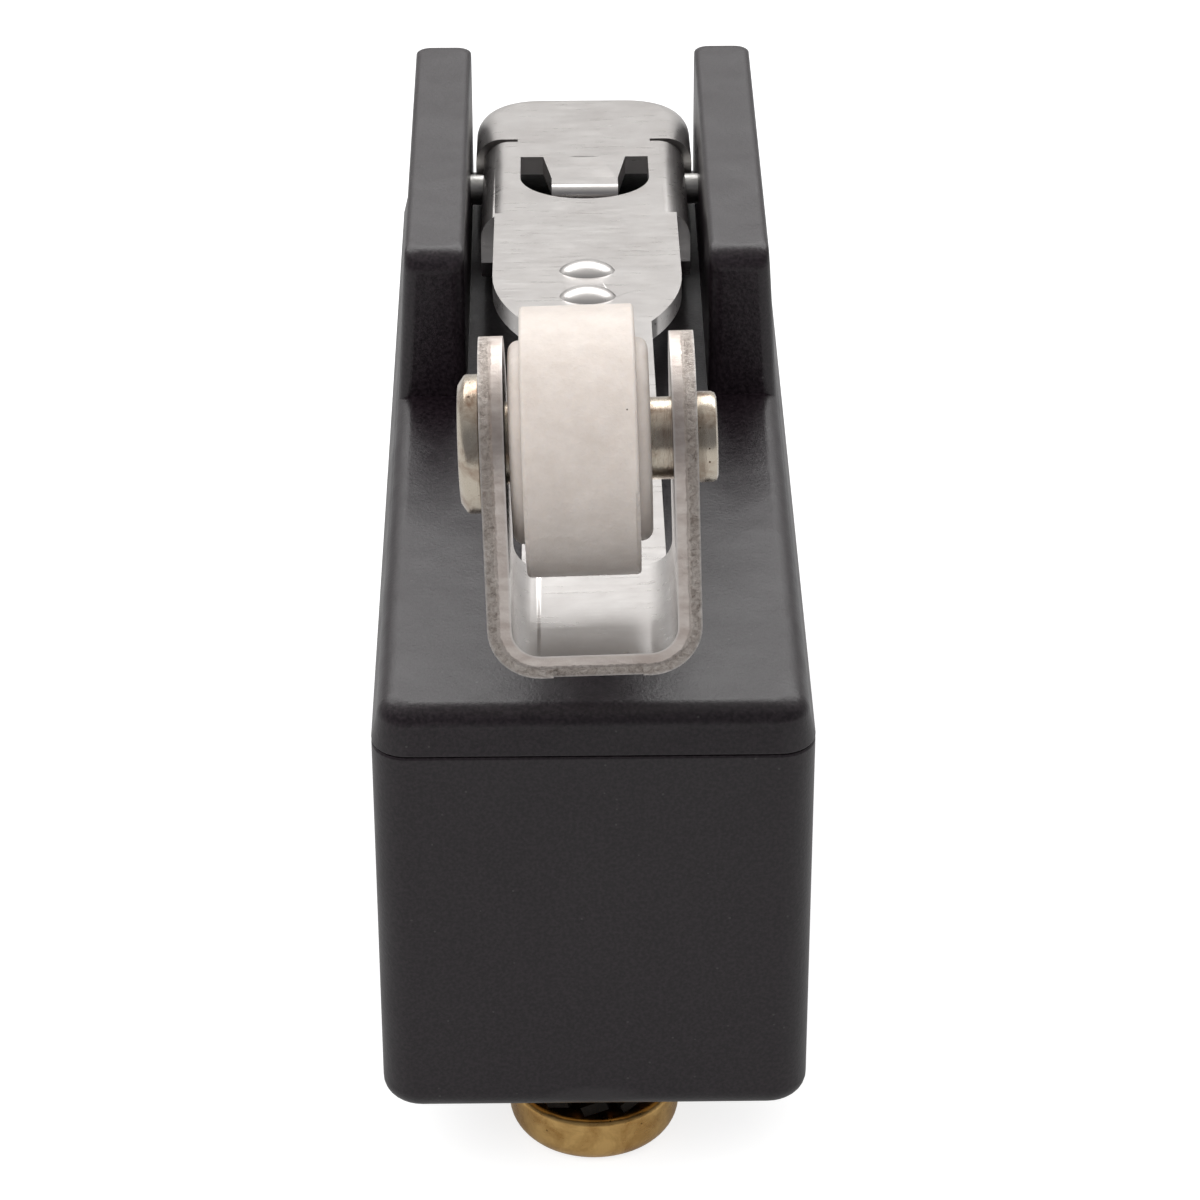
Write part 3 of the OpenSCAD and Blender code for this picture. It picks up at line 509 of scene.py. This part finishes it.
def lathe(name, profile, matrix, steps=72):
    """Solid of revolution: profile lists distance along the axis and radius, matrix places it."""
    turn = [2 * math.pi * i / steps for i in range(steps)]
    loops = [[matrix @ Vector((t, r * math.cos(a), r * math.sin(a))) for a in turn] for t, r in profile]
    return skin(name, loops)


def combine(piece, tools, operation):
    """Joins tools to the piece or cuts them out of it, and takes the tools away."""
    for tool in tools:
        step = piece.modifiers.new("step", "BOOLEAN")
        step.operation = operation
        step.solver = "EXACT"
        step.object = tool
        bpy.context.view_layer.update()
        result = bpy.data.meshes.new_from_object(piece.evaluated_get(bpy.context.evaluated_depsgraph_get()))
        piece.modifiers.clear()
        piece.data = result
        bpy.data.objects.remove(tool)


def merge(piece, part):
    """Adds a part's faces to the piece as they are, so the face it stands on stays flat."""
    bm = bmesh.new()
    bm.from_mesh(piece.data)
    bm.from_mesh(part.data)
    bm.to_mesh(piece.data)
    bm.free()
    bpy.data.objects.remove(part)


def finish_piece(piece, body, slot, *replaced, radius_mm=0.0, angle=32):
    """Clears split flat faces, smooths, dresses and hands the piece to its body and slot."""
    bm = bmesh.new()
    bm.from_mesh(piece.data)
    bmesh.ops.dissolve_limit(bm, angle_limit=math.radians(FLAT_ANGLE), verts=bm.verts, edges=bm.edges)
    bm.to_mesh(piece.data)
    bm.free()
    piece.data.materials.clear()
    piece.data.materials.append(FINISH[slot])
    for polygon in piece.data.polygons:
        polygon.use_smooth = True
        polygon.material_index = 0
    piece.data.set_sharp_from_angle(angle=math.radians(angle))
    if radius_mm:
        soften(piece, radius_mm)
    even = piece.modifiers.new("even_normals", "WEIGHTED_NORMAL")
    even.mode = "FACE_AREA"
    even.weight = 60
    even.keep_sharp = True
    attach(piece, body)
    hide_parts(*replaced)


# Housing -------------------------------------------------------------------

CASE_HALF_W, CASE_HALF_L = 8.725, 24.6
FOOT_Z, SEAM_Z, TOP_Z = -4.4, 13.2, 15.2
FLOOR_Z, CAVITY_X, CAVITY_Y = 3.4, 6.925, 22.8
CORNER_R, FOOT_R, COVER_R, DRAFT = 1.45, 1.1, 0.9, 0.22
SEAM_R = 0.13
SCREW_Y = (-18.9, 0.0, 18.9)
MOUNT_Y, MOUNT_R = (-12.7, 12.7), 2.1
POCKET_TOP, POCKET_R = -1.2, 2.2
SLOT_Y, SLOT_HALF_W, SLOT_HALF_T = (-22.2, 22.2), 2.12, 0.52
COUNTERBORE_TOP, COUNTERBORE_R, SCREW_BORE_R = -2.9, 2.0, 1.2
RIM_GAP, RIM_T, RIM_DEPTH = 0.1, 1.0, 1
GUIDE_R, GUIDE_BORE_R, PIN_BORE_R = 3.3, 1.95, 0.72
POST_R, POST_BORE_R = 1.6, 1.02
POSTS = ((-5.125, -6.35), (5.125, 6.35))
EAR_GAP_X, EAR_FOOT_X, EAR_TOP_X = 5.3, 8.38, 7.88
EAR_NEAR, EAR_FAR, EAR_TOP = 1.1, 23.7, 22.1
HINGE_Y, HINGE_Z = (c / MM for c in HINGE[1:])
PLUNGER_Y = sum(corner[1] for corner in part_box("plunger")) / 2 / MM


def plan_loop(inset, z):
    """Outline of the housing at one level, drawn in by inset."""
    return round_rect(inset - CASE_HALF_W, CASE_HALF_W - inset, inset - CASE_HALF_L,
                      CASE_HALF_L - inset, CORNER_R - inset * 0.6, z)


def make_case():
    """Housing with mounting holes, screw pockets, terminal slots and holes for the cover screws."""
    foot = [plan_loop(inset, FOOT_Z + below) for inset, below in fillet(FOOT_R)][::-1]
    seam = [plan_loop(inset, SEAM_Z - below) for inset, below in fillet(SEAM_R, 4)]
    case = skin("case_shell", foot + seam)
    cuts = [box("cut", -CAVITY_X, CAVITY_X, -CAVITY_Y, CAVITY_Y, FLOOR_Z, SEAM_Z + 1)]
    cuts += [rod("cut", "X", (y, 0.0), -9, 9, MOUNT_R) for y in MOUNT_Y]
    cuts += [rod("cut", "Z", (0.0, y), -5, POCKET_TOP, POCKET_R) for y in SCREW_Y]
    cuts += [box("cut", -SLOT_HALF_W, SLOT_HALF_W, y - SLOT_HALF_T, y + SLOT_HALF_T, -5, 4) for y in SLOT_Y]
    cuts += [box("cut", 5.805, 6.845, -SLOT_HALF_W, SLOT_HALF_W, -5, 4)]
    cuts += [rod("cut", "Z", place, -5, COUNTERBORE_TOP, COUNTERBORE_R) for place in POSTS]
    cuts += [rod("cut", "Z", place, -3, 4, SCREW_BORE_R) for place in POSTS]
    combine(case, cuts, "DIFFERENCE")
    finish_piece(case, "housing", "phenolic", "case")


def ear_loop(side, x_in, y_in, z):
    """Outline of an ear at one level: its outer face leans in towards the top."""
    lean = (EAR_FOOT_X - EAR_TOP_X) * (z - TOP_Z) / (EAR_TOP - TOP_Z)
    near, far = EAR_GAP_X + x_in, EAR_FOOT_X - max(lean, 0) - x_in
    return [(side * x, y, z) for x, y, z in round_rect(near, far, EAR_NEAR + y_in, EAR_FAR - y_in, 0.6, z)]


def make_ear(side):
    """Guard ear with well rounded ends and slightly rounded top edges."""
    end_r, edge_r = 0.95, 0.3
    loops = [ear_loop(side, 0, 0, TOP_Z - COVER_R)]
    for y_in, below in fillet(end_r, 12):
        x_in = edge_r - math.sqrt(edge_r ** 2 - (edge_r - below) ** 2) if below < edge_r else 0
        loops.append(ear_loop(side, x_in, y_in, EAR_TOP - below))
    return skin("ear", loops)


def make_cover():
    """Cover with its locating rim, two ears, plunger guide and two posts."""
    seam = [plan_loop(inset, SEAM_Z + below) for inset, below in fillet(SEAM_R, 4)][::-1]
    top = [plan_loop(DRAFT + inset, TOP_Z - below) for inset, below in fillet(COVER_R)]
    cover = skin("cover_shell", seam + top)
    out_x, out_y = CAVITY_X - RIM_GAP, CAVITY_Y - RIM_GAP
    in_x, in_y = out_x - RIM_T, out_y - RIM_T
    rim = box("rim", -out_x, out_x, -out_y, out_y, SEAM_Z - RIM_DEPTH, SEAM_Z + 0.5)
    combine(rim, [box("cut", -in_x, in_x, -in_y, in_y, 12, 13.3)], "DIFFERENCE")
    adds = [rim, make_ear(-1), make_ear(1), rod("add", "Z", (0, PLUNGER_Y), SEAM_Z - 1, TOP_Z + 1, GUIDE_R)]
    adds += [rod("add", "Z", place, FLOOR_Z + 0.1, SEAM_Z + 0.5, POST_R) for place in POSTS]
    combine(cover, adds, "UNION")
    cuts = [rod("cut", "Z", (0, PLUNGER_Y), 10, 18, GUIDE_BORE_R),
            rod("cut", "X", (HINGE_Y, HINGE_Z), -9, 9, PIN_BORE_R)]
    cuts += [rod("cut", "Z", place, 3, SEAM_Z - 1, POST_BORE_R) for place in POSTS]
    combine(cover, cuts, "DIFFERENCE")
    finish_piece(cover, "housing", "phenolic", "cover")


# Lever ---------------------------------------------------------------------

def lever_matrix():
    """Places millimetres of the lever's own flat frame, with the roller towards -Y."""
    return Matrix.Translation(HINGE / MM) @ Matrix.Rotation(-math.radians(LEVER_TILT), 4, "X")


def move(piece, matrix):
    """Moves a mesh in millimetres by a matrix in millimetres."""
    piece.data.transform(Matrix.Scale(1 / MM, 4))
    piece.data.transform(matrix)
    piece.data.transform(Matrix.Scale(MM, 4))
    return piece


def rib_dome(y, half_len, half_w, height, steps=40):
    """Embossed ridge: a round hump that runs out softly into the plate."""
    turn = [2 * math.pi * i / steps for i in range(steps)]
    levels = [(1.0, -0.3)] + [(r / 12, height * (1 - (r / 12) ** 2) ** 0.8) for r in range(12, 0, -1)]
    loops = [[(half_len * r * math.cos(a), y + half_w * r * math.sin(a), PLATE_TOP + z) for a in turn]
             for r, z in levels]
    return skin("rib", loops)


def tongue_end():
    """Bent end of the tongue: a tight bend and a short upright face."""
    bend_r, tip, root, low, half = 0.5, 5.2, 3.75, 0.6, 1.51
    bend = [(tip - bend_r + bend_r * math.sin(a), PLATE_TOP - bend_r + bend_r * math.cos(a))
            for a in (math.radians(90 * i / 8) for i in range(9))]
    side = [(root, SHEET_LOW), (root, PLATE_TOP)] + bend
    side += [(tip, low), (tip - SHEET, low), (tip - SHEET, SHEET_LOW)]
    return skin("tongue", [[(x, -u, z) for u, z in side] for x in (-half, half)])


def make_lever():
    """The CAD lever with finer ribs and tongue end, and a chip in the bracket's lower front edge."""
    rib_size = (1.2, 0.95, 0.45)
    place = lever_matrix()
    sheet = bpy.data.objects.new("lever_sheet", NODES["lever"].data.copy())
    bpy.context.scene.collection.objects.link(sheet)
    cuts = [box("cut", -1.7, 1.7, -20.7, -14.4, PLATE_TOP, PLATE_TOP + 1),
            box("cut", -1.8, 1.8, -5.4, -3.85, 0.0, PLATE_TOP + 0.5)]
    combine(sheet, [move(cut, place) for cut in cuts], "DIFFERENCE")
    combine(sheet, [move(tongue_end(), place)], "UNION")
    chip = box("cut", -1.5, 1.65, -1, 0.09, SHEET_LOW - 0.5, SHEET_LOW + 0.36)
    combine(sheet, [move(chip, bracket_matrix((-BRACKET_END, 0.0)))], "DIFFERENCE")
    for i in (0, 1):
        merge(sheet, move(rib_dome(-RIB_START - i * RIB_PITCH, *rib_size), place))
    finish_piece(sheet, "lever", "lever_steel", "lever", radius_mm=0.06)


# Turned pieces -------------------------------------------------------------

def bracket_matrix(along):
    """Places millimetres along the axle's axis, from the point at the given distance along the lever."""
    turn = Matrix.Rotation(-math.radians(LEVER_TILT), 4, "X")
    lean = Matrix.Rotation(-math.radians(BRACKET_LEAN), 4, "Y")
    seat = Matrix.Translation((0, 0, SHEET_LOW))
    return (Matrix.Translation(HINGE / MM) @ turn @ seat @ lean @ seat.inverted()
            @ Matrix.Translation((0, *along)))


def make_axle():
    """Axle with a turned head on the left and a riveted end on the right."""
    shank, head, end = 1.45, 2.45, 1.6
    along, high = -50.4, 8.45
    face = -BRACKET_HALF - 0.8
    profile = [(face + 0.1, 0.5), (face + 0.03, 1.5), (face, 1.9), (face + 0.02, 2.08), (face + 0.1, 2.2)]
    profile += [(face + 0.24, head - 0.04), (face + 0.34, head), (-BRACKET_HALF - 0.08, head)]
    profile += [(-BRACKET_HALF, head - 0.08), (-BRACKET_HALF, shank), (BRACKET_HALF, shank)]
    profile += [(BRACKET_HALF + 0.02, end - 0.06), (BRACKET_HALF + 0.1, end), (BRACKET_HALF + 0.55, end)]
    profile += [(BRACKET_HALF + 0.68, end - 0.06), (BRACKET_HALF + 0.74, end - 0.2)]
    profile += [(BRACKET_HALF + 0.62, 0.7)]
    axle = lathe("roller_axle_turned", profile, bracket_matrix((along, high)))
    finish_piece(axle, "lever", "axle_nickel", "roller_axle", angle=40)


def make_terminal_screw(node, y):
    """Brass screw, head down, with a cross recess."""
    head_z, half = -6.6, 3.6
    cross_low, cross_top, cross_t, cross_l = -9.5, -7.8, 0.4, 2
    top_r, low_r, height = 0.3, 1.1, 2.4
    profile = [(head_z + 5, 1.6), (head_z + 4.6, 2.0), (head_z, 2.0)]
    profile += [(head_z - below, half - inset) for inset, below in fillet(top_r, 5)[::-1]]
    profile += [(head_z - height + below, half - inset) for inset, below in fillet(low_r, 10)]
    down = Matrix(((0, 1, 0, 0), (0, 0, 1, y), (1, 0, 0, 0), (0, 0, 0, 1)))
    screw = lathe(node + "_turned", profile, down)
    cuts = [box("cut", -cross_l, cross_l, y - cross_t, y + cross_t, cross_low, cross_top),
            box("cut", -cross_t, cross_t, y - cross_l, y + cross_l, cross_low, cross_top)]
    combine(screw, cuts, "DIFFERENCE")
    finish_piece(screw, "housing", "screw_brass", node, angle=40)


SLOTS = {part["node"]: part["material_slot"] for part in frame["record"]["subparts"]}
FINISH = {slot: MATERIALS[slot]() for slot in sorted(set(SLOTS.values()))}
make_camera()
make_world()
make_softbox("back_softbox", (0.0, 0.34, 0.36), (0.8, 0.3), 1.9)
make_softbox("front_softbox", (-0.1, -0.3, 0.46), (0.6, 0.34), 2.6).visible_glossy = False
make_floor()
dress_nodes()
make_case()
make_cover()
make_lever()
make_axle()
for screw_node, screw_y in zip(("no_screw", "nc_screw", "com_screw"), SCREW_Y):
    make_terminal_screw(screw_node, screw_y)
bpy.context.scene.view_settings.view_transform = "Standard"
